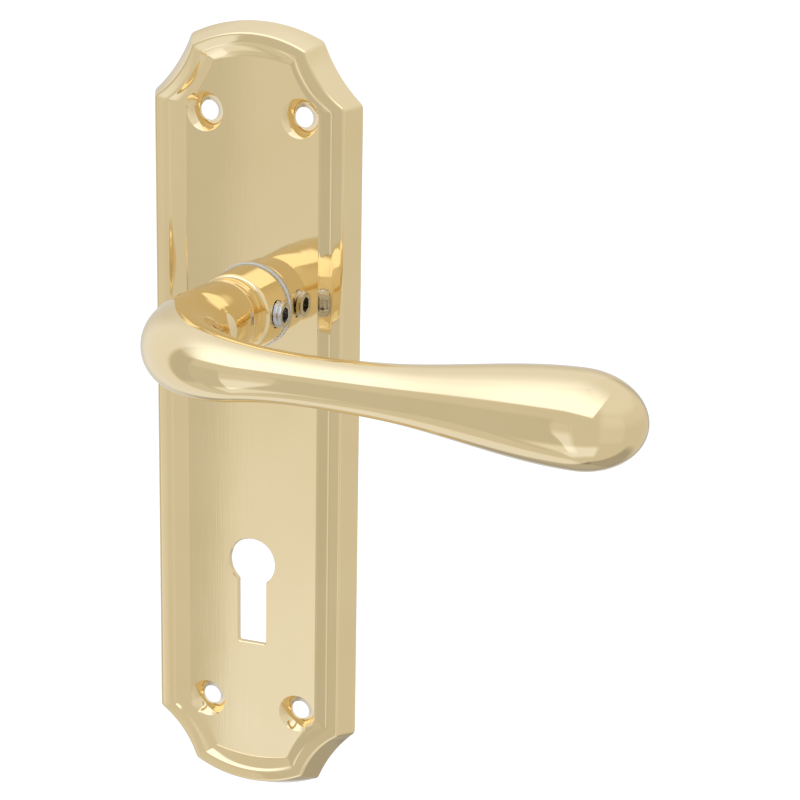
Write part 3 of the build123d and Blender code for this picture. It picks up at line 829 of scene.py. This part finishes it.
def make_world():
    """Soft grey surroundings with cards and the key light, and a white backdrop for the camera."""
    world = bpy.data.worlds.new("studio")
    bpy.context.scene.world = world
    world.use_nodes = True
    tree = world.node_tree

    def math(operation, *values):
        node = tree.nodes.new("ShaderNodeMath")
        node.operation = operation
        for socket, value in zip(node.inputs, values):
            if isinstance(value, (int, float)):
                socket.default_value = value
            else:
                tree.links.new(value, socket)
        return node.outputs[0]

    def rise(value, middle, softness):
        node = tree.nodes.new("ShaderNodeMapRange")
        node.interpolation_type = "SMOOTHSTEP"
        node.inputs["From Min"].default_value = radians(middle - softness)
        node.inputs["From Max"].default_value = radians(middle + softness)
        tree.links.new(value, node.inputs["Value"])
        return node.outputs["Result"]

    def beyond(edge, softness):
        dot = tree.nodes.new("ShaderNodeVectorMath")
        dot.operation = "DOT_PRODUCT"
        tree.links.new(direction, dot.inputs[0])
        dot.inputs[1].default_value = edge
        return rise(dot.outputs["Value"], 0.0, softness)

    def blend(factor, first, second):
        node = tree.nodes.new("ShaderNodeMix")
        node.data_type = "FLOAT"
        for socket, value in (("Factor", factor), ("A", first), ("B", second)):
            if isinstance(value, float):
                node.inputs[socket].default_value = value
            else:
                tree.links.new(value, node.inputs[socket])
        return node.outputs["Result"]

    direction = tree.nodes.new("ShaderNodeTexCoord").outputs["Generated"]
    split = tree.nodes.new("ShaderNodeSeparateXYZ")
    tree.links.new(direction, split.inputs[0])
    azimuth = math("ARCTAN2", split.outputs["X"], math("MULTIPLY", split.outputs["Y"], -1.0))
    elevation = math("ARCSINE", split.outputs["Z"])
    total = SURROUNDINGS
    for left, right, bottom, top, side_softness, end_softness, gain in CARDS:
        across = math("SUBTRACT", rise(azimuth, left, side_softness), rise(azimuth, right, side_softness))
        upright = math("SUBTRACT", rise(elevation, bottom, end_softness), rise(elevation, top, end_softness))
        card = math("MULTIPLY", math("MULTIPLY", across, upright), gain)
        total = math("ADD", card, total)
    slant = beyond(pointing(*LOWER_EDGE[0]).cross(pointing(*LOWER_EDGE[1])).normalized(), 0.3)
    for right, bottom, top, softness, gain in LOWER_CARDS:
        across = math("MULTIPLY", slant, math("SUBTRACT", 1.0, rise(azimuth, right, 5)))
        upright = math("SUBTRACT", rise(elevation, bottom, softness), rise(elevation, top, softness))
        card = math("MULTIPLY", math("MULTIPLY", across, upright), gain)
        total = math("ADD", card, total)
    mask = 1.0
    for edge, softness in key_edges():
        mask = math("MULTIPLY", beyond(edge, softness), mask)
    lit = blend(mask, total, KEY_RADIANCE)
    camera = tree.nodes.new("ShaderNodeLightPath").outputs["Is Camera Ray"]
    background = tree.nodes["Background"]
    tree.links.new(blend(camera, lit, BACKDROP), background.inputs["Strength"])
    whiten = tree.nodes.new("ShaderNodeMapRange")
    whiten.inputs["From Min"].default_value = COOL_START
    whiten.inputs["From Max"].default_value = COOL_FULL
    tree.links.new(lit, whiten.inputs["Value"])
    tint = tree.nodes.new("ShaderNodeMix")
    tint.data_type = "RGBA"
    tint.inputs["A"].default_value = (1, 1, 1, 1)
    tint.inputs["B"].default_value = (*COOL, 1)
    unseen = math("SUBTRACT", 1.0, camera)
    tree.links.new(math("MULTIPLY", whiten.outputs["Result"], unseen), tint.inputs["Factor"])
    tree.links.new(tint.outputs["Result"], background.inputs["Color"])


def pointing(azimuth, elevation):
    """The unit vector towards an azimuth and elevation in degrees."""
    azimuth, elevation = radians(azimuth), radians(elevation)
    return Vector((sin(azimuth) * cos(elevation), -cos(azimuth) * cos(elevation), sin(elevation)))


def key_edges():
    """The unit normals of the planes that bound the key light, with their softness."""
    facing = pointing(KEY_AZIMUTH, KEY_ELEVATION)
    side = Vector((cos(radians(KEY_AZIMUTH)), sin(radians(KEY_AZIMUTH)), 0))
    upward = side.cross(facing) * -1
    for (across, forward, up), softness in KEY_EDGES:
        yield (side * across + facing * forward + upward * up).normalized(), softness


make_floor()
make_camera()
make_world()
bpy.context.scene.view_settings.view_transform = "Standard"

bpy.context.view_layer.update()
